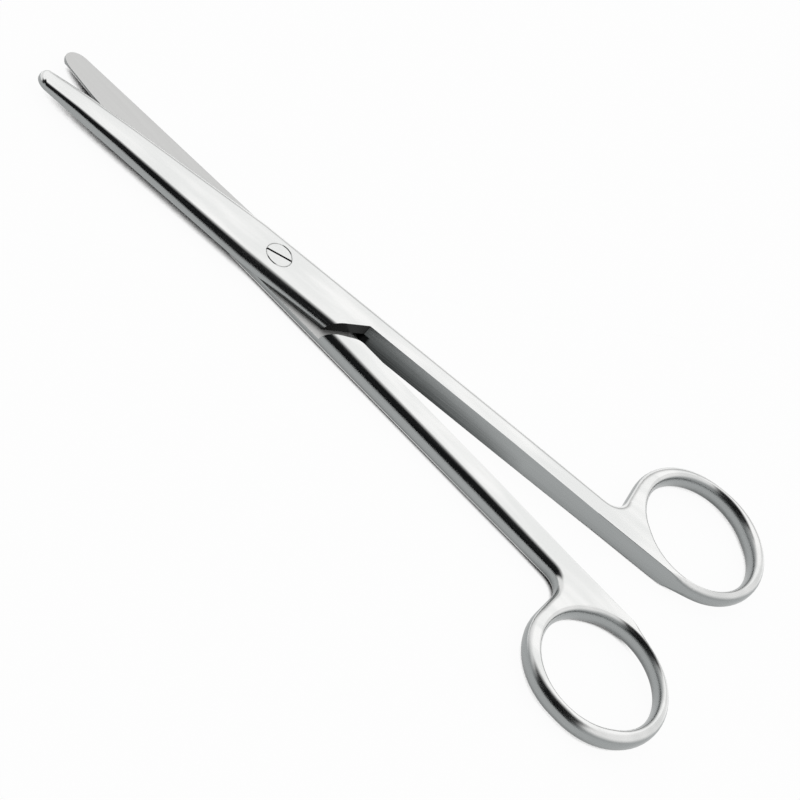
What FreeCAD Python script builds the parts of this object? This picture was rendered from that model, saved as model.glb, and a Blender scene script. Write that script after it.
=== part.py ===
import FreeCAD, Part
import math
import os
import Sketcher

# Dissecting scissors with straight, blunt blades, lying half open.
# Frame: +X along the blades to the tips, +Y to the side of the upper half's blade back,
# +Z up, origin on the pivot axis in the plane that the scissors rest on.
# Each half is modelled closed, with the pivot axis at its own origin and the joint's
# middle plane at z = 0. The lower half is the upper one turned over about X.

SIZES = {
    # Reach of each feature along X, from the pivot axis
    "blade_reach": 60.0,
    "blade_fore": 49.5,
    "blade_mid": 39.0,
    "blade_root": 6.0,
    "joint_rear": 30.0,
    "shank_mid": 60.0,
    "ring_reach": 103.36,
    # Widths from the closed scissors' centre line
    "joint_half_width": 6.07,
    "shank_half_width": 6.08,
    "neck_half_width": 6.06,
    "mid_back": 4.09,
    "mid_edge": 3.95,
    "fore_back": 3.42,
    "fore_edge": 3.3,
    "tip_back": 2.72,
    "tip_edge": 1.85,
    # Thickness of the closed pair, and height of one blade over the middle plane
    "joint_thickness": 5.65,
    "shank_thickness": 5.5,
    "ring_thickness": 4.8,
    "mid_height": 2.7,
    "fore_height": 2.36,
    "tip_height": 1.6,
    # Half-round sides: a narrow land at the widest line, a taller one along the blade's back
    "side_land": 0.2,
    "mid_spine": 1.03,
    "fore_spine": 1.05,
    "tip_spine": 0.65,
    "edge_run": 3.0,
    "tip_edge_run": 1.7,
    "tip_round": 1.1,
    # Lap joint: flat faces, sloping shoulders and the flat walls of the shanks
    "lap_clearance": 0.06,
    "wall_gap": 0.55,
    "shoulder_angle": 43.0,
    "plate_reach": 23.2,
    "shoulder_gap": 1.23,
    "shoulder_round": 3.0,
    "corner_relief": 0.4,
    "cut_margin": 2.0,
    # Finger ring
    "ring_radius": 15.75,
    "ring_stretch": 1.6,
    "neck_round": 3.9,
    "crest_lead": 3.0,
    "crest_slope": 1.5,
    "crest_start_round": 0.1,
    "crest_middle_round": 1.3,
    "round_run": 16.0,
    "rim_width": 3.15,
    "hole_stretch": 1.3,
    "hole_angle": 135.0,
    "hole_setback": 0.37,
    "hole_inset": 0.26,
    "hole_chamfer": 0.7,
    # Pivot screw
    "screw_radius": 1.75,
    "head_radius": 2.85,
    "head_height": 1.3,
    "bore_clearance": 0.05,
    "head_clearance": 0.06,
    "seat_clearance": 0.03,
    "edge_break": 0.12,
    "slot_width": 0.5,
    "slot_depth": 0.6,
    "slot_angle": 24.5,
    # Opening between the closed and the modelled position
    "rest_opening": 9.56,
}

doc = FreeCAD.newDocument("DissectingScissors")
sheet = doc.addObject("Spreadsheet::Sheet", "Sizes")
for row, (alias, number) in enumerate(SIZES.items(), 1):
    sheet.set(f"A{row}", alias)
    sheet.set(f"B{row}", str(number))
    sheet.setAlias(f"B{row}", alias)
doc.recompute()

# Places that follow from the sizes
RING_Y = (
    "-(Sizes.wall_gap + Sizes.ring_radius / cos(Sizes.crest_slope)"
    " + Sizes.crest_lead * tan(Sizes.crest_slope))"
)
REAR_X = "-(Sizes.ring_reach + Sizes.ring_stretch / 2)"
NECK_X = "-(Sizes.ring_reach - Sizes.ring_stretch / 2 - Sizes.ring_radius - Sizes.neck_round)"
CREST_X = f"{REAR_X} + Sizes.crest_lead"
TOUCH_X = f"{REAR_X} - Sizes.ring_radius * sin(Sizes.crest_slope)"
HOLE_X = "-(Sizes.ring_reach + Sizes.hole_setback)"
HOLE_Y = f"{RING_Y} + Sizes.hole_inset"
HOLE_RADIUS = "Sizes.ring_radius - Sizes.rim_width"
PLATE_END = "-Sizes.plate_reach"
SHOULDER_END = (
    "-(Sizes.plate_reach + Sizes.shoulder_gap / sin(Sizes.shoulder_angle)"
    " - 2 * Sizes.wall_gap / tan(Sizes.shoulder_angle))"
)
OUTSIDE = "(Sizes.joint_half_width + Sizes.cut_margin)"
LAP_FACE = "Sizes.lap_clearance / 2"
HALF_JOINT = "Sizes.joint_thickness / 2"

# Ends of a sketch edge, and the sketch's horizontal axis, which starts at the origin
START, END, CENTRE = range(1, 4)
H_AXIS = -START
TINY = 1e-3


def value(expression):
    """Length or angle that an expression of the sheet stands for."""
    return float(sheet.evalExpression(expression))


def attach(sketch, body, role, offset):
    """Puts a sketch on one of its body's origin planes, moved along the normal."""
    plane = next(f for f in body.Origin.OriginFeatures if f.Role == role)
    sketch.AttachmentSupport = [(plane, "")]
    sketch.MapMode = "FlatFace"
    sketch.setExpression("AttachmentOffset.Base.z", offset)


def bind(sketch, name, expression, *constraint):
    """Adds a named dimension and ties it to the sheet."""
    index = sketch.addConstraint(Sketcher.Constraint(*constraint, value(expression)))
    sketch.renameConstraint(index, name)
    sketch.setExpression("Constraints." + name, expression)


def fix(sketch, name, x, y, edge, end):
    """Ties a point's place to the sheet."""
    bind(sketch, name + "_x", x, "DistanceX", H_AXIS, START, edge, end)
    bind(sketch, name + "_y", y, "DistanceY", H_AXIS, START, edge, end)


def level(sketch, edge, end, other_edge, other_end):
    sketch.addConstraint(Sketcher.Constraint("Horizontal", edge, end, other_edge, other_end))


def upright(sketch, edge, end, other_edge, other_end):
    sketch.addConstraint(Sketcher.Constraint("Vertical", edge, end, other_edge, other_end))


def point(x, y):
    return FreeCAD.Vector(x, y, 0)


def polar(radius, degrees):
    return point(radius * math.cos(math.radians(degrees)), radius * math.sin(math.radians(degrees)))


def arc(centre, radius, first, last):
    """Counter-clockwise arc between two directions in degrees."""
    circle = Part.Circle(centre, FreeCAD.Vector(0, 0, 1), radius)
    return Part.ArcOfCircle(circle, math.radians(first), math.radians(last))


def close_up(sketch, runs, kind="Coincident"):
    """Joins (edge, first end, last end) to the next edge all the way round an outline."""
    for (edge, _, last), (following, first, _) in zip(runs, runs[1:] + runs[:1]):
        sketch.addConstraint(Sketcher.Constraint(kind, edge, last, following, first))


def draw_polygon(sketch, corners):
    """Closed outline through corners that are tied to the sheet one by one."""
    places = [point(value(x), value(y)) for x, y in corners]
    for first, last in zip(places, places[1:] + places[:1]):
        sketch.addGeometry(Part.LineSegment(first, last))
    close_up(sketch, [(edge, START, END) for edge in range(len(corners))])
    for edge, (x, y) in enumerate(corners):
        fix(sketch, f"corner{edge}", x, y, edge, START)


def rim_outline():
    """Outline of a finger ring with its neck, flat along the closed scissors' middle."""
    sketch = doc.addObject("Sketcher::SketchObject", "RimOutline")
    radius = value("Sizes.ring_radius")
    bend = value("Sizes.neck_round")
    crest = 90 + value("Sizes.crest_slope")
    blend = crest + value("Sizes.round_run")
    rear = point(value(REAR_X), value(RING_Y))
    front = rear + point(value("Sizes.ring_stretch"), 0)
    wall = point(value(NECK_X), -value("Sizes.wall_gap"))
    leave = point(value(CREST_X), wall.y)
    neck = point(wall.x, -value("Sizes.neck_half_width"))
    bend_centre = neck - point(0, bend)
    sketch.addGeometry([
        Part.LineSegment(wall, leave),
        Part.LineSegment(leave, rear + polar(radius, crest)),
        arc(rear, radius, crest, blend),
        arc(rear, radius, blend, 270),
        Part.LineSegment(rear - point(0, radius), front - point(0, radius)),
        arc(front, radius, 270, 360),
        Part.LineSegment(front + point(radius, 0), bend_centre - point(bend, 0)),
        arc(bend_centre, bend, 90, 180),
        Part.LineSegment(neck, wall),
    ])
    top, slope, growing, rim, foot, nose, side, hollow, end = range(9)
    runs = [(edge, START, END) for edge in (top, slope, growing, rim, foot, nose, side)]
    close_up(sketch, runs + [(hollow, END, START), (end, START, END)])
    for edge in (top, foot):
        sketch.addConstraint(Sketcher.Constraint("Horizontal", edge))
    for edge in (side, end):
        sketch.addConstraint(Sketcher.Constraint("Vertical", edge))
    sketch.addConstraint(Sketcher.Constraint("Coincident", growing, CENTRE, rim, CENTRE))
    upright(sketch, rim, END, rim, CENTRE)
    level(sketch, rim, CENTRE, nose, CENTRE)
    upright(sketch, nose, START, nose, CENTRE)
    level(sketch, nose, END, nose, CENTRE)
    level(sketch, hollow, END, hollow, CENTRE)
    upright(sketch, hollow, START, hollow, CENTRE)
    fix(sketch, "rear", REAR_X, RING_Y, growing, CENTRE)
    fix(sketch, "crest", CREST_X, "-Sizes.wall_gap", slope, START)
    bind(sketch, "touch", TOUCH_X, "DistanceX", H_AXIS, START, slope, END)
    bind(sketch, "radius", "Sizes.ring_radius", "Radius", growing)
    bind(sketch, "stretch", "Sizes.ring_stretch", "DistanceX", rim, CENTRE, nose, CENTRE)
    bind(sketch, "growth", "Sizes.round_run * 1 deg", "Angle", growing)
    bind(sketch, "neck", "-Sizes.neck_half_width", "DistanceY", H_AXIS, START, hollow, START)
    bind(sketch, "bend", "Sizes.neck_round", "Radius", hollow)
    return sketch


def rim_edges(shape):
    """Rounds every outer edge; beside the crest the rounding grows from almost nothing."""
    half = value("Sizes.ring_thickness") / 2
    wall_y = -value("Sizes.wall_gap")
    rounded = []
    for index, edge in enumerate(shape.Edges, 1):
        ends = [edge.valueAt(edge.FirstParameter), edge.valueAt(edge.LastParameter)]
        on_face = all(abs(abs(p.z) - half) < TINY for p in ends) and ends[0].z * ends[1].z > 0
        on_wall = all(abs(p.y - wall_y) < TINY for p in ends)
        on_neck = all(abs(p.x - value(NECK_X)) < TINY for p in ends)
        if on_face and not on_wall and not on_neck:
            radii = [half - value("Sizes.side_land")] * 2
            for end, p in enumerate(ends):
                if abs(p.x - value(CREST_X)) < TINY and p.y > value(RING_Y):
                    radii[end] = value("Sizes.crest_start_round")
                elif abs(p.x - value(TOUCH_X)) < TINY and p.y > value(RING_Y):
                    radii[end] = value("Sizes.crest_middle_round")
            rounded.append((index, *radii))
    return rounded


def finger_rim():
    """The rim and neck as one half-round bar, still without its hole."""
    plate = doc.addObject("Part::Extrusion", "RimPlate")
    plate.Base = rim_outline()
    plate.DirMode = "Custom"
    plate.Dir = FreeCAD.Vector(0, 0, 1)
    plate.Solid = True
    plate.Symmetric = True
    plate.setExpression("LengthFwd", "Sizes.ring_thickness")
    doc.recompute()
    rim = doc.addObject("Part::Fillet", "RoundedRim")
    rim.Base = plate
    rim.Edges = rim_edges(plate.Shape)
    doc.recompute()
    return rim


def section(body, name, x, back, edge, height, back_land, edge_run):
    """Half-round cross-section of the closed pair: its back at +Y, its edge side at -Y."""
    sketch = body.newObject("Sketcher::SketchObject", name)
    attach(sketch, body, "YZ_Plane", x)
    wall, side, top = value(back), -value(edge), value(height)
    spine, land, run = value(back_land), value("Sizes.side_land"), value(edge_run)
    turn = top - spine
    rise = top - land
    sweep = (run ** 2 + rise ** 2) / (2 * rise)
    reach = math.degrees(math.asin(run / sweep))
    if rise > sweep:
        reach = 180 - reach
    back_centre = point(wall - turn, spine)
    edge_centre = point(side + run, top - sweep)
    mirrored = [point(c.x, -c.y) for c in (back_centre, edge_centre)]
    sketch.addGeometry([
        Part.LineSegment(point(wall, -spine), point(wall, spine)),
        arc(back_centre, turn, 0, 90),
        Part.LineSegment(point(wall - turn, top), point(side + run, top)),
        arc(edge_centre, sweep, 90, 90 + reach),
        Part.LineSegment(point(side, land), point(side, -land)),
        arc(mirrored[1], sweep, 270 - reach, 270),
        Part.LineSegment(point(side + run, -top), point(wall - turn, -top)),
        arc(mirrored[0], turn, 270, 360),
    ])
    close_up(sketch, [(edge, START, END) for edge in range(8)])
    for first, first_end, last, last_end in (
        (0, START, 0, END), (4, START, 4, END), (2, START, 6, END), (2, END, 6, START),
    ):
        sketch.addConstraint(
            Sketcher.Constraint("Symmetric", first, first_end, last, last_end, H_AXIS)
        )
    sketch.addConstraint(Sketcher.Constraint("Horizontal", 2))
    level(sketch, 1, START, 1, CENTRE)
    upright(sketch, 1, END, 1, CENTRE)
    upright(sketch, 3, START, 3, CENTRE)
    upright(sketch, 5, END, 5, CENTRE)
    upright(sketch, 7, START, 7, CENTRE)
    bind(sketch, "back", back, "DistanceX", H_AXIS, START, 0, END)
    bind(sketch, "spine", back_land, "DistanceY", H_AXIS, START, 0, END)
    bind(sketch, "side", f"-({edge})", "DistanceX", H_AXIS, START, 4, START)
    bind(sketch, "land", "Sizes.side_land", "DistanceY", H_AXIS, START, 4, START)
    bind(sketch, "crown", height, "DistanceY", H_AXIS, START, 2, START)
    bind(sketch, "run", edge_run, "DistanceX", 4, START, 3, CENTRE)
    return sketch


def bar_section(body, name, x, half_width, half_height):
    """Section of a shank or of the joint, alike on both sides."""
    quarter = f"{half_height} - Sizes.side_land"
    return section(body, name, x, half_width, half_width, half_height, "Sizes.side_land", quarter)


def loft(body, name, sections):
    feature = body.newObject("PartDesign::AdditiveLoft", name)
    feature.Profile = sections[0]
    feature.Sections = sections[1:]
    feature.Ruled = True
    doc.recompute()


def blank(body):
    """The closed pair's full outer form on this half's ring: shank, joint and tapering blade."""
    neck = bar_section(body, "NeckSection", NECK_X, "Sizes.neck_half_width", "Sizes.ring_thickness / 2")
    shank = bar_section(
        body, "ShankSection", "-Sizes.shank_mid", "Sizes.shank_half_width", "Sizes.shank_thickness / 2"
    )
    joint = bar_section(body, "JointSection", "-Sizes.joint_rear", "Sizes.joint_half_width", HALF_JOINT)
    root = bar_section(body, "BladeRoot", "Sizes.blade_root", "Sizes.joint_half_width", HALF_JOINT)
    middle = section(
        body, "BladeMiddle", "Sizes.blade_mid", "Sizes.mid_back", "Sizes.mid_edge",
        "Sizes.mid_height", "Sizes.mid_spine", "Sizes.edge_run",
    )
    fore = section(
        body, "BladeFore", "Sizes.blade_fore", "Sizes.fore_back", "Sizes.fore_edge",
        "Sizes.fore_height", "Sizes.fore_spine", "Sizes.edge_run",
    )
    tip = section(
        body, "BladeTip", "Sizes.blade_reach", "Sizes.tip_back", "Sizes.tip_edge",
        "Sizes.tip_height", "Sizes.tip_spine", "Sizes.tip_edge_run",
    )
    loft(body, "Shank", [neck, shank, joint])
    bar = body.newObject("PartDesign::Pad", "Joint")
    bar.Profile = joint
    bar.setExpression("Length", "Sizes.joint_rear + Sizes.blade_root")
    doc.recompute()
    loft(body, "Blade", [root, middle, fore, tip])
    blade = body.Tip
    ends = [
        f"Edge{index}" for index, edge in enumerate(blade.Shape.Edges, 1)
        if all(abs(v.X - value("Sizes.blade_reach")) < TINY for v in edge.Vertexes)
    ]
    rounding = body.newObject("PartDesign::Fillet", "TipRound")
    rounding.Base = (blade, ends)
    rounding.setExpression("Radius", "Sizes.tip_round")
    doc.recompute()


def cut_region(body, name, upward, corners, rounding):
    """Clears one side of the lap plane inside an outline whose first corner is rounded."""
    sketch = body.newObject("Sketcher::SketchObject", name + "Outline")
    attach(sketch, body, "XY_Plane", LAP_FACE)
    places = [point(value(x), value(y)) for x, y in corners]
    ahead = (places[1] - places[0]).normalize()
    behind = (places[-1] - places[0]).normalize()
    opening = ahead.getAngle(behind) / 2
    radius = value(rounding)
    leave = places[0] + ahead * (radius / math.tan(opening))
    enter = places[0] + behind * (radius / math.tan(opening))
    centre = places[0] + (ahead + behind).normalize() * (radius / math.sin(opening))
    middle = centre + (places[0] - centre).normalize() * radius
    convex = (behind.cross(ahead)).z < 0
    stops = [leave] + places[1:] + [enter]
    for first, last in zip(stops, stops[1:]):
        sketch.addGeometry(Part.LineSegment(first, last))
    count = len(places)
    ends = (enter, leave) if convex else (leave, enter)
    sketch.addGeometry(Part.Arc(ends[0], middle, ends[1]))
    corner = sketch.addGeometry(Part.Point(places[0]), True)
    for edge in range(count - 1):
        sketch.addConstraint(Sketcher.Constraint("Coincident", edge, END, edge + 1, START))
    arc_in, arc_out = (START, END) if convex else (END, START)
    sketch.addConstraint(Sketcher.Constraint("Tangent", count - 1, END, count, arc_in))
    sketch.addConstraint(Sketcher.Constraint("Tangent", count, arc_out, 0, START))
    sketch.addConstraint(Sketcher.Constraint("PointOnObject", corner, START, 0))
    sketch.addConstraint(Sketcher.Constraint("PointOnObject", corner, START, count - 1))
    fix(sketch, "corner", *corners[0], corner, START)
    for edge, (x, y) in enumerate(corners[1:]):
        fix(sketch, f"stop{edge}", x, y, edge, END)
    bind(sketch, "rounding", rounding, "Radius", count)
    pocket = body.newObject("PartDesign::Pocket", name)
    pocket.Profile = sketch
    pocket.Type = "ThroughAll"
    pocket.Reversed = upward
    doc.recompute()
    return pocket


def lap_joint(body):
    """Leaves this half's plate and blade over the lap plane and its shank beside the middle."""
    wall = "-Sizes.wall_gap"
    behind = f"{NECK_X} - Sizes.cut_margin"
    beyond = "Sizes.blade_reach + Sizes.cut_margin"
    slope = f"({OUTSIDE} + Sizes.wall_gap) / tan(Sizes.shoulder_angle)"
    across = f"({OUTSIDE} - Sizes.wall_gap) / tan(Sizes.shoulder_angle)"
    cut_region(body, "PlateEnd", True, [
        (PLATE_END, wall),
        (f"{PLATE_END} + {slope}", OUTSIDE),
        (behind, OUTSIDE),
        (behind, wall),
    ], "Sizes.corner_relief")
    cut_region(body, "LapFace", False, [
        (SHOULDER_END, wall),
        (f"{SHOULDER_END} + {across}", f"-{OUTSIDE}"),
        (beyond, f"-{OUTSIDE}"),
        (beyond, OUTSIDE),
        (behind, OUTSIDE),
        (behind, wall),
    ], "Sizes.shoulder_round")


def ring_hole(body):
    """Finger hole, a little longer along one diagonal, with broken rims."""
    sketch = body.newObject("Sketcher::SketchObject", "RingHoleOutline")
    attach(sketch, body, "XY_Plane", "-Sizes.ring_thickness")
    angle = value("Sizes.hole_angle")
    radius = value(HOLE_RADIUS)
    shift = polar(value("Sizes.hole_stretch") / 2, angle)
    middle = point(value(HOLE_X), value(HOLE_Y))
    far, near = middle + shift, middle - shift
    side = polar(radius, angle + 90)
    sketch.addGeometry([
        arc(far, radius, angle - 90, angle + 90),
        Part.LineSegment(far + side, near + side),
        arc(near, radius, angle + 90, angle + 270),
        Part.LineSegment(near - side, far - side),
    ])
    close_up(sketch, [(edge, START, END) for edge in range(4)], "Tangent")
    sketch.addConstraint(Sketcher.Constraint("Equal", 0, 2))
    x_shift = "Sizes.hole_stretch / 2 * cos(Sizes.hole_angle)"
    y_shift = "Sizes.hole_stretch / 2 * sin(Sizes.hole_angle)"
    fix(sketch, "far", f"{HOLE_X} + {x_shift}", f"{HOLE_Y} + {y_shift}", 0, CENTRE)
    fix(sketch, "near", f"{HOLE_X} - {x_shift}", f"{HOLE_Y} - {y_shift}", 2, CENTRE)
    bind(sketch, "radius", HOLE_RADIUS, "Radius", 0)
    hole = body.newObject("PartDesign::Pocket", "RingHole")
    hole.Profile = sketch
    hole.Type = "ThroughAll"
    hole.Reversed = True
    doc.recompute()
    half = value("Sizes.ring_thickness") / 2
    reach = radius + value("Sizes.hole_stretch")
    rims = []
    for index, edge in enumerate(hole.Shape.Edges, 1):
        inside = all(point(v.X, v.Y).distanceToPoint(middle) < reach for v in edge.Vertexes)
        if inside and all(abs(abs(v.Z) - half) < TINY for v in edge.Vertexes):
            rims.append(f"Edge{index}")
    chamfer = body.newObject("PartDesign::Chamfer", "RingHoleRims")
    chamfer.Base = (hole, rims)
    chamfer.setExpression("Size", "Sizes.hole_chamfer")
    doc.recompute()


def round_cut(body, name, height, radius, depth=None):
    """Round hole on the pivot axis, cut down from a height, to a depth or right through."""
    sketch = body.newObject("Sketcher::SketchObject", name + "Outline")
    attach(sketch, body, "XY_Plane", height)
    sketch.addGeometry(Part.Circle(point(0, 0), FreeCAD.Vector(0, 0, 1), value(radius)))
    sketch.addConstraint(Sketcher.Constraint("Coincident", 0, CENTRE, H_AXIS, START))
    bind(sketch, "radius", radius, "Radius", 0)
    cut = body.newObject("PartDesign::Pocket", name)
    cut.Profile = sketch
    if depth:
        cut.setExpression("Length", depth)
    else:
        cut.Type = "ThroughAll"
    doc.recompute()


def half_body(label):
    body = doc.addObject("PartDesign::Body", label)
    body.Label = label
    body.BaseFeature = rounded_rim
    doc.recompute()
    ring_hole(body)
    blank(body)
    lap_joint(body)
    return body


def upper_half():
    """Half whose blade lies on top: it turns round the screw, whose head sits in it."""
    body = half_body("upper_half")
    round_cut(body, "PivotBore", HALF_JOINT, "Sizes.screw_radius + Sizes.bore_clearance")
    seat = "Sizes.head_radius + Sizes.head_clearance"
    round_cut(body, "HeadSeat", HALF_JOINT, seat, "Sizes.head_height + Sizes.seat_clearance")
    bore = body.Tip
    mouth = [
        f"Edge{index}" for index, edge in enumerate(bore.Shape.Edges, 1)
        if len(edge.Vertexes) == 1 and abs(edge.Length - 2 * math.pi * value(seat)) < TINY
        and abs(edge.Vertexes[0].Z - value(HALF_JOINT)) < TINY
    ]
    chamfer = body.newObject("PartDesign::Chamfer", "SeatMouth")
    chamfer.Base = (bore, mouth)
    chamfer.setExpression("Size", "Sizes.edge_break")
    turn = FreeCAD.Rotation(FreeCAD.Vector(0, 0, 1), value("Sizes.rest_opening") / 2)
    body.Placement = FreeCAD.Placement(FreeCAD.Vector(0, 0, value(HALF_JOINT)), turn)
    return body


def lower_half():
    """The same half turned over about X, with a plain hole that holds the screw."""
    body = half_body("lower_half")
    round_cut(body, "ScrewHole", HALF_JOINT, "Sizes.screw_radius")
    turn = FreeCAD.Rotation(FreeCAD.Vector(0, 0, 1), -value("Sizes.rest_opening") / 2)
    over = FreeCAD.Rotation(FreeCAD.Vector(1, 0, 0), 180)
    body.Placement = FreeCAD.Placement(FreeCAD.Vector(0, 0, value(HALF_JOINT)), turn * over)
    return body


def pivot_screw():
    """Slotted screw: head flush with the upper half, shank flush with the underside."""
    body = doc.addObject("PartDesign::Body", "pivot_screw")
    body.Label = "pivot_screw"
    sketch = body.newObject("Sketcher::SketchObject", "ScrewProfile")
    attach(sketch, body, "XZ_Plane", "0")
    foot = f"-{HALF_JOINT}"
    seat = f"{HALF_JOINT} - Sizes.head_height"
    draw_polygon(sketch, [
        ("0", foot),
        ("Sizes.screw_radius", foot),
        ("Sizes.screw_radius", seat),
        ("Sizes.head_radius", seat),
        ("Sizes.head_radius", f"{HALF_JOINT} - Sizes.edge_break"),
        ("Sizes.head_radius - Sizes.edge_break", HALF_JOINT),
        ("0", HALF_JOINT),
    ])
    turned = body.newObject("PartDesign::Revolution", "Turned")
    turned.Profile = sketch
    turned.ReferenceAxis = (sketch, ["V_Axis"])
    turned.Angle = 360
    doc.recompute()
    outline = body.newObject("Sketcher::SketchObject", "SlotOutline")
    attach(outline, body, "XY_Plane", HALF_JOINT)
    outline.setExpression("AttachmentOffset.Rotation.Angle", "Sizes.slot_angle * 1 deg")
    along = "Sizes.head_radius + Sizes.head_clearance"
    aside = "Sizes.slot_width / 2"
    draw_polygon(outline, [
        (f"-({along})", f"-{aside}"),
        (along, f"-{aside}"),
        (along, aside),
        (f"-({along})", aside),
    ])
    slot = body.newObject("PartDesign::Pocket", "Slot")
    slot.Profile = outline
    slot.setExpression("Length", "Sizes.slot_depth")
    turn = FreeCAD.Rotation(FreeCAD.Vector(0, 0, 1), -value("Sizes.rest_opening") / 2)
    body.Placement = FreeCAD.Placement(FreeCAD.Vector(0, 0, value(HALF_JOINT)), turn)
    return body


rounded_rim = finger_rim()
subparts = [upper_half(), lower_half(), pivot_screw()]
doc.recompute()

for item in doc.Objects:
    if "Invalid" in item.State or "Error" in item.State:
        raise RuntimeError(f"{item.Name} failed: {item.State}")
for body in subparts:
    if body.Shape.isNull() or not body.Shape.isValid() or len(body.Shape.Solids) != 1:
        raise RuntimeError(f"{body.Label} is not one valid solid")

os.makedirs("parts", exist_ok=True)
for body in subparts:
    body.Shape.exportStep(f"parts/{body.Label}.step")
    print(body.Label, round(body.Shape.Volume, 1), "mm3")
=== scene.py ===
import bmesh
import bpy
import math
from mathutils import Matrix, Vector
from mathutils.bvhtree import BVHTree
from mathutils.interpolate import poly_3d_calc


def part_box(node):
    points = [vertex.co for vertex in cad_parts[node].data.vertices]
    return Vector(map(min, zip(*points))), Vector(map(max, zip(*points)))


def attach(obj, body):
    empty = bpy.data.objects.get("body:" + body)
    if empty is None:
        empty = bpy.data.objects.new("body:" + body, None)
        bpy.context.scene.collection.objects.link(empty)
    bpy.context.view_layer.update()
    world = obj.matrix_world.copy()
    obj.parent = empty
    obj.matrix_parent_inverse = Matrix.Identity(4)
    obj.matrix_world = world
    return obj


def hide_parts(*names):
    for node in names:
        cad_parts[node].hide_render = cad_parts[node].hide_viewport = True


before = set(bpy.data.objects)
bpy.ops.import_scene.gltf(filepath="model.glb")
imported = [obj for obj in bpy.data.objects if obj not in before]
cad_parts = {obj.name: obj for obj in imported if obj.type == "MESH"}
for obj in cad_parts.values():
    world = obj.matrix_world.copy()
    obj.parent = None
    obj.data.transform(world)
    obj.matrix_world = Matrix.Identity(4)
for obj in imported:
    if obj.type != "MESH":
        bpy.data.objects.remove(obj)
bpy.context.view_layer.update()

MM = 0.001

# Camera: a long lens from above the upper half's blade side, rolled so that the tips point up left
IMAGE_WIDTH = 800
FOCAL_PIXELS = 2917.0
SENSOR_WIDTH = 36.0
CAMERA_DISTANCE = 587.3 * MM
CAMERA_ELEVATION = 43.106
CAMERA_AZIMUTH = -0.846
CAMERA_ROLL = 41.690
CAMERA_CLIP = (0.01, 20.0)
AIM_RIGHT = 25.55 * MM
AIM_UP = -27.60 * MM

# Studio: the tent's colour by the angle from overhead towards the camera's side, in degrees.
# The dark part is the room that a tent's open front lets in.
TENT = (
    (-100, "#8E8E8E"), (-84, "#B4B4B4"), (-62, "#FAFAFA"), (-4, "#FAFAFA"), (12, "#9C9C9C"),
    (26, "#121314"), (98, "#121314"), (104, "#B4B4B4"),
)
# The opening is only so wide: along X the sides close it, from the first number to the second
TENT_SIDES = "#E4E4E4"
TENT_SIDE_STEPS = ((0.62, 0.88, 0.0, 1.0), (-0.48, -0.24, 1.0, 0.0))
TENT_LEVEL = 1.08

# Floor: how much of it is plain white to the camera, and how painted shade darkens it in narrow gaps
FLOOR_REACH = 3.0
FLOOR_WHITE = 0.96
FLOOR_SHADE = (0.17, 0.31)
SHADE_REACH = 12.0 * MM
SHADE_SAMPLES = 16

# Sizes that the solids have too, in millimetres and degrees
REST_TURN = 4.78
RING_CENTRE = (-103.73, -16.12)
HOLE_RADIUS = 12.66
HOLE_STRETCH = 1.3
HOLE_DIAGONAL = 135.0
RING_HALF = 2.4
JOINT_MIDDLE = 2.825
BLADE_REACH = 60.0

# Ring's inner side: how far its half round goes in, and how finely the cutter is divided
RIM_ROUND = 1.5
RIM_END = 86.0
RIM_ROWS = 15
RIM_STEPS = 240
RIM_TOP = 1.6
RIM_CLEAR = 0.05

# Blade's nose: its length, the half widths of each side at the nose's end and start, the power
# of its ellipse, the height of its top over the lap, the dome of its edge, and its divisions
NOSE_LENGTH = 3.2
NOSE_BACK = (2.72, 2.93)
NOSE_EDGE = (1.85, 2.29)
NOSE_POWER = 2.2
NOSE_HEIGHT = 1.62
NOSE_DOME = 1.1
NOSE_END = 84.0
NOSE_ROWS = 8
NOSE_STEPS = 20
NOSE_STEEPEST = 0.98
# What the nose's cutter reaches past the blade: below, above, to the sides and ahead
NOSE_PAST = (1.0, 2.0, 6.0, 3.0)

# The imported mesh: points nearer than this are one point, and a corner's normal is read this
# share of the way to the middle of its face
WELD = 0.0005 * MM
CORNER_INSET = 0.02

# Noise in the steel, per mm along and across. Grinding streaks are really 0.05 mm apart, and are
# drawn 0.3 mm apart so that they show; the clouds that hand polishing leaves are 4 mm across.
STREAKS_PER_MM = (0.06, 3.3, 3.3)
STREAK_DETAIL = 3.0
STREAK_DEPTH = 0.004 * MM
STREAK_STRENGTH = 0.4
CLOUDS_PER_MM = (0.05, 0.25, 0.25)
CLOUD_DETAIL = 2.0

# Smooth steps in the steel: what each goes by, two limits of that, and its value at the two.
# x is in mm from the screw; level and endways are how far a face points up or along the blade;
# light is 1 in the open and less where other parts are near.
STEEL_STEPS = {
    "ring": ("x", -92.0, -86.0, 1.0, 0.0),
    # Flanks by slope: their satin finish, and painted reflection in the gray colour they get
    "bar_flank": ("level", 0.38, 0.50, 1.0, 0.0),
    "ring_flank": ("level", 0.50, 0.80, 1.0, 0.0),
    "end_face": ("endways", 0.06, 0.2, 0.0, 1.0),
    "past_plate": ("x", -36.0, -34.0, 0.0, 1.0),
    "behind_screw": ("x", -13.0, -12.0, 1.0, 0.0),
    "clouded": ("cloud", 0.3, 0.7, 0.0, 1.0),
    # Painted shade, from how closed in a place is: the next step lightens the satin in the open, and
    # the one after paints the closed-in places near black
    "open": ("light", 0.3, 0.66, 0.0, 1.0),
    "painted_shade_closed_in": ("light", 0.1, 0.4, 1.0, 0.0),
    "streaked": ("streak", 0.25, 0.75, 0.0, 0.15),
    "roughness": ("streak", 0.3, 0.7, 0.12, 0.2),
}
# A ground face in the joint is level and this near to the joint's middle height
LAP_LEVEL = 0.98
LAP_NEAR = 0.4
# What the satin and the ground faces add to the polish's roughness
SATIN_ROUGHER = 0.12
LAP_ROUGHER = 0.28


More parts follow.
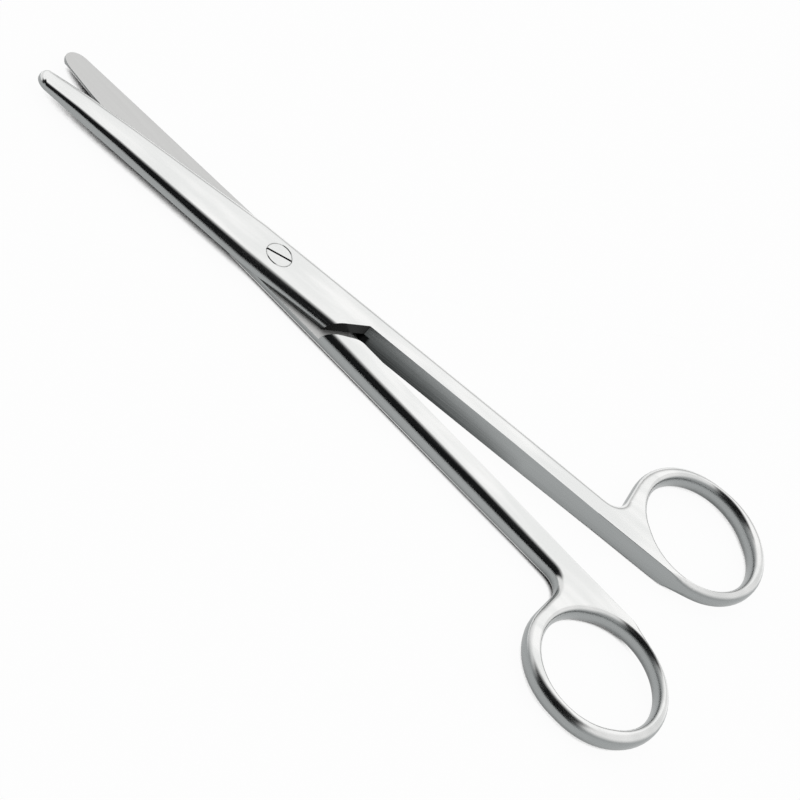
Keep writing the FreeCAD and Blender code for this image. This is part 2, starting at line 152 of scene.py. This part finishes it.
def hex_colour(code):
    """Linear colour of an sRGB hex value."""
    parts = [int(code[i:i + 2], 16) / 255 for i in (1, 3, 5)]
    linear = [p / 12.92 if p <= 0.04045 else ((p + 0.055) / 1.055) ** 2.4 for p in parts]
    return (*linear, 1.0)


def node(tree, kind, inputs=None, **settings):
    """Adds one node with its settings, and a value or a link for each input that is given."""
    made = tree.nodes.new(kind)
    for name, setting in settings.items():
        setattr(made, name, setting)
    for name, source in (inputs or {}).items():
        if isinstance(source, bpy.types.NodeSocket):
            tree.links.new(source, made.inputs[name])
        else:
            made.inputs[name].default_value = source
    return made


def make_camera():
    """Camera at the photograph's place, looking a little beside the screw."""
    pivot = Vector((0, 0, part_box("upper_half")[1].z / 2))
    azimuth, elevation = math.radians(CAMERA_AZIMUTH), math.radians(CAMERA_ELEVATION)
    roll = math.radians(CAMERA_ROLL)
    back = Vector((
        math.sin(azimuth) * math.cos(elevation),
        math.cos(azimuth) * math.cos(elevation),
        math.sin(elevation),
    ))
    level = (-back).cross(Vector((0, 0, 1))).normalized()
    raised = level.cross(-back)
    right = math.cos(roll) * level + math.sin(roll) * raised
    up = -math.sin(roll) * level + math.cos(roll) * raised
    data = bpy.data.cameras.new("camera")
    data.sensor_width = SENSOR_WIDTH
    data.lens = SENSOR_WIDTH * FOCAL_PIXELS / IMAGE_WIDTH
    data.clip_start, data.clip_end = CAMERA_CLIP
    camera = bpy.data.objects.new("camera", data)
    turn = Matrix((right, up, back)).transposed().to_4x4()
    place = pivot + CAMERA_DISTANCE * back + AIM_RIGHT * right + AIM_UP * up
    camera.matrix_world = Matrix.Translation(place) @ turn
    bpy.context.scene.collection.objects.link(camera)
    bpy.context.scene.camera = camera


def make_floor():
    """Plain pale floor, one big sheet under the scissors."""
    far = FLOOR_REACH
    mesh = bpy.data.meshes.new("floor")
    corners = [(-far, -far, 0), (far, -far, 0), (far, far, 0), (-far, far, 0)]
    mesh.from_pydata(corners, [], [(0, 1, 2, 3)])
    floor = bpy.data.objects.new("floor", mesh)
    bpy.context.scene.collection.objects.link(floor)

    # Smooth matt paper: white to the camera and in the steel. A little of it takes the scissors'
    # real shadow, and its white carries painted shade where the scissors close it in
    material = bpy.data.materials.new("pale_paper")
    material.use_nodes = True
    tree = material.node_tree
    tree.nodes.clear()
    paper = node(tree, "ShaderNodeBsdfDiffuse", {"Color": hex_colour("#FAFAFA")})
    near = node(
        tree, "ShaderNodeAmbientOcclusion", {"Distance": SHADE_REACH}, samples=SHADE_SAMPLES
    )
    # Painted shade: the white's strength falls where the scissors close the floor in, a contact
    # shadow that no lamp casts
    lit = node(
        tree, "ShaderNodeMapRange",
        {"Value": near.outputs["AO"], "From Min": FLOOR_SHADE[0], "From Max": FLOOR_SHADE[1]},
        interpolation_type="SMOOTHSTEP",
    )
    white = node(
        tree, "ShaderNodeEmission", {"Color": hex_colour("#FFFFFF"), "Strength": lit.outputs[0]}
    )
    path = node(tree, "ShaderNodeLightPath")
    direct = node(
        tree, "ShaderNodeMath",
        {0: path.outputs["Is Camera Ray"], 1: path.outputs["Is Glossy Ray"]}, operation="ADD",
    )
    seen = node(
        tree, "ShaderNodeMath", {0: direct.outputs[0], 1: path.outputs["Is Transmission Ray"]},
        operation="ADD", use_clamp=True,
    )
    share = node(tree, "ShaderNodeMath", {0: seen.outputs[0], 1: FLOOR_WHITE}, operation="MULTIPLY")
    mix = node(
        tree, "ShaderNodeMixShader",
        {0: share.outputs[0], 1: paper.outputs[0], 2: white.outputs[0]},
    )
    node(tree, "ShaderNodeOutputMaterial", {"Surface": mix.outputs[0]})
    mesh.materials.append(material)


def make_studio():
    """White tent overhead, open to the dark room on the camera's side."""
    world = bpy.data.worlds.new("studio")
    bpy.context.scene.world = world
    world.use_nodes = True
    tree = world.node_tree
    tree.nodes.clear()
    where = node(tree, "ShaderNodeTexCoord")
    parts = node(tree, "ShaderNodeSeparateXYZ", {"Vector": where.outputs["Generated"]})
    lean = node(
        tree, "ShaderNodeMath", {0: parts.outputs["Y"], 1: parts.outputs["Z"]}, operation="ARCTAN2"
    )
    turn = node(
        tree, "ShaderNodeMapRange",
        {"Value": lean.outputs[0], "From Min": -math.pi, "From Max": math.pi},
    )
    tent = node(tree, "ShaderNodeValToRGB", {"Fac": turn.outputs[0]})
    stops = tent.color_ramp.elements
    for index, (degrees, colour) in enumerate(TENT):
        place = (degrees + 180) / 360
        stop = stops[index] if index < 2 else stops.new(place)
        stop.position = place
        stop.color = hex_colour(colour)
    ahead, behind = (
        node(
            tree, "ShaderNodeMapRange",
            {
                "Value": parts.outputs["X"], "From Min": low, "From Max": high,
                "To Min": start, "To Max": end,
            },
            interpolation_type="SMOOTHSTEP",
        )
        for low, high, start, end in TENT_SIDE_STEPS
    )
    sides = node(
        tree, "ShaderNodeMath", {0: ahead.outputs[0], 1: behind.outputs[0]}, operation="ADD"
    )
    colour = node(
        tree, "ShaderNodeMix",
        {0: sides.outputs[0], 6: tent.outputs["Color"], 7: hex_colour(TENT_SIDES)},
        data_type="RGBA",
    )
    light = node(
        tree, "ShaderNodeBackground", {"Color": colour.outputs[2], "Strength": TENT_LEVEL}
    )
    node(tree, "ShaderNodeOutputWorld", {"Surface": light.outputs[0]})


def surgical_steel(name, turn, flip):
    """Forged stainless steel, polished on a wheel: to the eye its tops are nearly white mirrors with
    long soft streaks, its flanks gray satin, their gray partly painted reflection, and its ground
    faces in the joint pale and dull.
    Painted shade darkens it where parts close each other in and paints the joint's shoulders near
    black.
    """
    material = bpy.data.materials.new(name)
    material.use_nodes = True
    tree = material.node_tree
    shader = tree.nodes["Principled BSDF"]
    shader.inputs["Metallic"].default_value = 1.0

    # Place in mm and facing as the half itself has them: x along the blade, z up
    where = node(tree, "ShaderNodeTexCoord")
    own_place, own_facing = (
        node(
            tree, "ShaderNodeVectorRotate", {"Vector": where.outputs[kind], "Angle": -turn},
            rotation_type="Z_AXIS",
        )
        for kind in ("Object", "Normal")
    )
    millimetres = node(
        tree, "ShaderNodeVectorMath", {0: own_place.outputs[0], 1: (1 / MM, flip / MM, 1 / MM)},
        operation="MULTIPLY",
    )
    place = node(tree, "ShaderNodeSeparateXYZ", {"Vector": millimetres.outputs[0]})
    facing = node(tree, "ShaderNodeSeparateXYZ", {"Vector": own_facing.outputs[0]})
    near = node(
        tree, "ShaderNodeAmbientOcclusion", {"Distance": SHADE_REACH}, samples=SHADE_SAMPLES
    )
    goes_by = {"x": place.outputs["X"], "light": near.outputs["AO"]}
    for kind, axis in (("level", "Z"), ("endways", "X")):
        size = node(tree, "ShaderNodeMath", {0: facing.outputs[axis]}, operation="ABSOLUTE")
        goes_by[kind] = size.outputs[0]
    for kind, per_mm, detail in (
        ("streak", STREAKS_PER_MM, STREAK_DETAIL), ("cloud", CLOUDS_PER_MM, CLOUD_DETAIL),
    ):
        grain = node(
            tree, "ShaderNodeVectorMath", {0: millimetres.outputs[0], 1: per_mm},
            operation="MULTIPLY",
        )
        noise = node(
            tree, "ShaderNodeTexNoise",
            {"Vector": grain.outputs[0], "Scale": 1.0, "Detail": detail},
        )
        goes_by[kind] = noise.outputs[0]

    steps = {}
    for kind, (value, low, high, start, end) in STEEL_STEPS.items():
        step = node(
            tree, "ShaderNodeMapRange",
            {
                "Value": goes_by[value], "From Min": low, "From Max": high,
                "To Min": start, "To Max": end,
            },
            interpolation_type="SMOOTHSTEP",
        )
        steps[kind] = step.outputs[0]

    # Areas of each finish: satin flanks, wider round the finger rings than on the bars, their gray
    # partly painted reflection; ground faces of the joint; and the joint's shoulders, painted near
    # black as shade and dark reflection
    flat = node(
        tree, "ShaderNodeMath", {0: goes_by["level"], 1: LAP_LEVEL}, operation="GREATER_THAN"
    )
    middle = node(
        tree, "ShaderNodeMath", {0: place.outputs["Z"], 1: JOINT_MIDDLE, 2: LAP_NEAR},
        operation="COMPARE",
    )
    areas = {}
    for kind, area, *limits in (
        ("ring_flank", steps["ring_flank"], steps["ring"]),
        ("lap", flat.outputs[0], middle.outputs[0]),
        (
            "shoulder", steps["bar_flank"], steps["end_face"], steps["past_plate"],
            steps["behind_screw"],
        ),
    ):
        for limit in limits:
            shared = node(tree, "ShaderNodeMath", {0: area, 1: limit}, operation="MULTIPLY")
            area = shared.outputs[0]
        areas[kind] = area
    flank = node(
        tree, "ShaderNodeMath", {0: steps["bar_flank"], 1: areas["ring_flank"]}, operation="MAXIMUM"
    ).outputs[0]

    # Colours, each laid over the one before: first the satin by itself, with painted shade darkening
    # it where other parts close it in; then polish, satin, ground faces, shoulders painted near
    # black, and painted shade, near black, in the darkest places, where parts close each other in
    colours = {}
    for finish, base, layers in (
        ("satin", "#4C4F4F", ((steps["open"], "#9C9F9F"), (steps["streaked"], "#C0C4C4"))),
        (
            "steel", "#E6E7E6",
            (
                (steps["clouded"], "#F4F4F3"), (flank, "satin"), (areas["lap"], "#D2D2D1"),
                (areas["shoulder"], "#141515"), (steps["painted_shade_closed_in"], "#0C0D0D"),
            ),
        ),
    ):
        below = hex_colour(base)
        for share, layer in layers:
            above = colours[layer] if layer in colours else hex_colour(layer)
            mix = node(tree, "ShaderNodeMix", {0: share, 6: below, 7: above}, data_type="RGBA")
            below = mix.outputs[2]
        colours[finish] = below
    tree.links.new(colours["steel"], shader.inputs["Base Color"])

    roughness = steps["roughness"]
    for area, rougher in ((flank, SATIN_ROUGHER), (areas["lap"], LAP_ROUGHER)):
        added = node(
            tree, "ShaderNodeMath", {0: area, 1: rougher, 2: roughness}, operation="MULTIPLY_ADD"
        )
        roughness = added.outputs[0]
    tree.links.new(roughness, shader.inputs["Roughness"])
    bump = node(
        tree, "ShaderNodeBump",
        {"Height": goes_by["streak"], "Strength": STREAK_STRENGTH, "Distance": STREAK_DEPTH},
    )
    tree.links.new(bump.outputs[0], shader.inputs["Normal"])
    return material


def placed(local, spin):
    """A half's own point in mm, turned about the screw and raised to the joint, in metres."""
    return (spin @ local + Vector((0, 0, JOINT_MIDDLE))) * MM


def unplaced(point, spin):
    """A point in metres, in a half's own millimetres."""
    return spin.transposed() @ (point / MM - Vector((0, 0, JOINT_MIDDLE)))


def hole_cutter(spin, centre, diagonal):
    """Barrel that leaves the ring's inner side half round: narrowest at mid-height, flaring out."""
    shift = Vector((math.cos(diagonal), math.sin(diagonal), 0)) * HOLE_STRETCH / 2
    rows = []
    for step in range(-RIM_ROWS, RIM_ROWS + 1):
        angle = math.radians(RIM_END) * step / RIM_ROWS
        rows.append((RING_HALF * math.sin(angle), HOLE_RADIUS + RIM_ROUND * (1 - math.cos(angle))))
    top, widest = RING_HALF * RIM_TOP, rows[0][1] + RIM_CLEAR
    rows = [(-top, widest)] + rows + [(top, widest)]
    verts = []
    for height, radius in rows:
        for step in range(RIM_STEPS):
            angle = diagonal - math.pi / 2 + 2 * math.pi * step / RIM_STEPS
            side = shift if step <= RIM_STEPS // 2 else -shift
            out = Vector((math.cos(angle), math.sin(angle), 0))
            verts.append(placed(centre + side + out * radius + Vector((0, 0, height)), spin))
    last = (len(rows) - 1) * RIM_STEPS
    faces = []
    for row in range(0, last, RIM_STEPS):
        for step in range(RIM_STEPS):
            a, b = row + step, row + (step + 1) % RIM_STEPS
            faces.append((a, b, b + RIM_STEPS, a + RIM_STEPS))
    faces.append(tuple(reversed(range(RIM_STEPS))))
    faces.append(tuple(range(last, last + RIM_STEPS)))
    mesh = bpy.data.meshes.new("hole_cutter")
    mesh.from_pydata(verts, [], faces)
    mesh.update()
    return mesh


def nose_side(x, side):
    """Half width of the straight blade side at a place along it."""
    return side[0] + (side[1] - side[0]) * (BLADE_REACH - x) / NOSE_LENGTH


def nose_line(inset):
    """Blade nose in plan, from one side round to the other: a blunt ellipse on tapering sides."""
    line = []
    for step in range(-NOSE_STEPS, NOSE_STEPS + 1):
        angle = math.radians(90) * abs(step) / NOSE_STEPS
        ahead = math.cos(angle) ** (2 / NOSE_POWER)
        out = math.sin(angle) ** (2 / NOSE_POWER)
        x = BLADE_REACH - NOSE_LENGTH * (1 - ahead)
        side = NOSE_EDGE if step < 0 else NOSE_BACK
        width = (nose_side(x, side) - inset * ahead) * out * (1 if step > 0 else -1)
        line.append((x - inset * ahead, width))
    return line


def nose_cutter(spin, flip):
    """Horseshoe that trims the blade's end to its round nose, domed on the outer side."""
    below, above, wide, beyond = NOSE_PAST
    start, far = BLADE_REACH - NOSE_LENGTH, BLADE_REACH + beyond
    rows = [(-below, 0.0)]
    for step in range(NOSE_ROWS + 1):
        angle = math.radians(NOSE_END) * step / NOSE_ROWS
        rows.append((
            NOSE_HEIGHT - NOSE_DOME * (1 - math.sin(angle)), NOSE_DOME * (1 - math.cos(angle))
        ))
    rows.append((NOSE_HEIGHT + above, NOSE_DOME))
    verts = []
    for height, inset in rows:
        outline = [(start, -wide), (far, -wide), (far, wide), (start, wide)]
        outline += reversed(nose_line(inset))
        verts += [placed(Vector((x, y * flip, height * flip)), spin) for x, y in outline]
    count = len(outline)
    last = len(verts) - count
    faces = [tuple(range(count)), tuple(range(last + count - 1, last - 1, -1))]
    for row in range(0, last, count):
        for step in range(count):
            a, b = row + step, row + (step + 1) % count
            faces.append((a, a + count, b + count, b))
    mesh = bpy.data.meshes.new("nose_cutter")
    mesh.from_pydata(verts, [], faces)
    form = bmesh.new()
    form.from_mesh(mesh)
    bmesh.ops.triangulate(form, faces=form.faces)
    bmesh.ops.recalc_face_normals(form, faces=form.faces)
    form.to_mesh(mesh)
    form.free()
    return mesh


def nose_normal(point, spin, flip):
    """Direction that the blade's round nose faces at a point."""
    local = unplaced(point, spin)
    ahead = max(0.0, (local.x - (BLADE_REACH - NOSE_LENGTH)) / NOSE_LENGTH)
    y = local.y * flip
    out = y / nose_side(local.x, NOSE_BACK if y > 0 else NOSE_EDGE)
    lean = Vector((
        ahead ** (NOSE_POWER - 1) / NOSE_LENGTH,
        flip * math.copysign(abs(out) ** (NOSE_POWER - 1), out) / NOSE_BACK[0],
        0,
    )).normalized()
    rise = (local.z * flip - NOSE_HEIGHT + NOSE_DOME) / NOSE_DOME
    rise = max(0.0, min(NOSE_STEEPEST, rise)) * min(1.0, 2 * ahead)
    lean = lean * math.sqrt(1 - rise * rise) + Vector((0, 0, rise * flip))
    return (spin @ lean).normalized()


def hole_normal(point, spin, centre, diagonal):
    """Direction that the ring's inner side faces at a point."""
    local = unplaced(point, spin)
    axis = Vector((math.cos(diagonal), math.sin(diagonal), 0))
    off = Vector((local.x - centre.x, local.y - centre.y, 0))
    run = max(-HOLE_STRETCH / 2, min(HOLE_STRETCH / 2, off.dot(axis)))
    out = (off - axis * run).normalized()
    sine = max(-1.0, min(1.0, local.z / RING_HALF))
    cosine = math.sqrt(1 - sine * sine)
    lean = -out * (cosine / RIM_ROUND) + Vector((0, 0, sine / RING_HALF))
    return (spin @ lean).normalized()


def packed_normal(mesh, surface, polygon, corner):
    """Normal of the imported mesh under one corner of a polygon."""
    found, _, index, _ = surface.find_nearest(corner.lerp(polygon.center, CORNER_INSET))
    face = mesh.polygons[index]
    shares = poly_3d_calc([mesh.vertices[v].co for v in face.vertices], found)
    normal = Vector((0, 0, 0))
    for share, loop in zip(shares, face.loop_indices):
        normal += share * mesh.corner_normals[loop].vector
    return normal.normalized() if normal.length > 0 else polygon.normal.copy()


def dressed_half(node_name, body, turn, flip):
    """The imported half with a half-round finger hole and a round nose, in place of the CAD node."""
    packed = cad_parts[node_name].data
    mesh = packed.copy()
    mesh.name = node_name + "_dressed"
    form = bmesh.new()
    form.from_mesh(mesh)
    bmesh.ops.remove_doubles(form, verts=form.verts, dist=WELD)
    form.to_mesh(mesh)
    form.free()
    piece = bpy.data.objects.new(node_name + "_dressed", mesh)
    bpy.context.scene.collection.objects.link(piece)

    # Two cuts. Each cutter carries a mark as its material, by which its cut faces are known.
    spin = Matrix.Rotation(turn, 3, "Z")
    centre = Vector((RING_CENTRE[0], RING_CENTRE[1] * flip, 0))
    diagonal = math.radians(HOLE_DIAGONAL * flip)
    marks = [bpy.data.materials.new(mark) for mark in ("kept", "hole_side", "nose_side")]
    mesh.materials.clear()
    mesh.materials.append(marks[0])
    cutters = []
    for mark, cut in zip(marks[1:], (hole_cutter(spin, centre, diagonal), nose_cutter(spin, flip))):
        cut.materials.append(mark)
        cutter = bpy.data.objects.new(cut.name, cut)
        bpy.context.scene.collection.objects.link(cutter)
        cutters.append(cutter)
        boolean = piece.modifiers.new(cut.name, "BOOLEAN")
        boolean.operation = "DIFFERENCE"
        boolean.solver = "EXACT"
        boolean.object = cutter
        boolean.material_mode = "TRANSFER"
    piece.modifiers.new("triangles", "TRIANGULATE")
    cut_piece = piece.evaluated_get(bpy.context.evaluated_depsgraph_get())
    done = bpy.data.meshes.new_from_object(cut_piece)
    piece.modifiers.clear()
    for cutter in cutters:
        bpy.data.objects.remove(cutter)

    # Shading: the cuts face as their own round forms do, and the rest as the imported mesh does
    surface = BVHTree.FromPolygons(
        [v.co for v in packed.vertices], [tuple(p.vertices) for p in packed.polygons]
    )
    _, hole_side, nose_side_slot = (done.materials.find(mark.name) for mark in marks)
    normals = [None] * len(done.loops)
    for polygon in done.polygons:
        polygon.use_smooth = True
        for loop in polygon.loop_indices:
            corner = done.vertices[done.loops[loop].vertex_index].co
            if polygon.material_index == hole_side:
                normals[loop] = hole_normal(corner, spin, centre, diagonal)
            elif polygon.material_index == nose_side_slot:
                normals[loop] = nose_normal(corner, spin, flip)
            else:
                normals[loop] = packed_normal(packed, surface, polygon, corner)
    for polygon in done.polygons:
        polygon.material_index = 0
    done.materials.clear()
    for mark in marks:
        bpy.data.materials.remove(mark)
    done.normals_split_custom_set(normals)
    done.materials.append(surgical_steel(node_name + "_steel", turn, flip))
    piece.data = done
    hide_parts(node_name)
    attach(piece, body)


make_camera()
make_floor()
make_studio()
rest_turn = math.radians(REST_TURN)
dressed_half("upper_half", "upper", rest_turn, 1)
dressed_half("lower_half", "lower", -rest_turn, -1)
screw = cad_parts["pivot_screw"]
screw.data.materials.clear()
screw.data.materials.append(surgical_steel("screw_steel", -rest_turn, 1))

bpy.context.scene.view_settings.view_transform = "Standard"
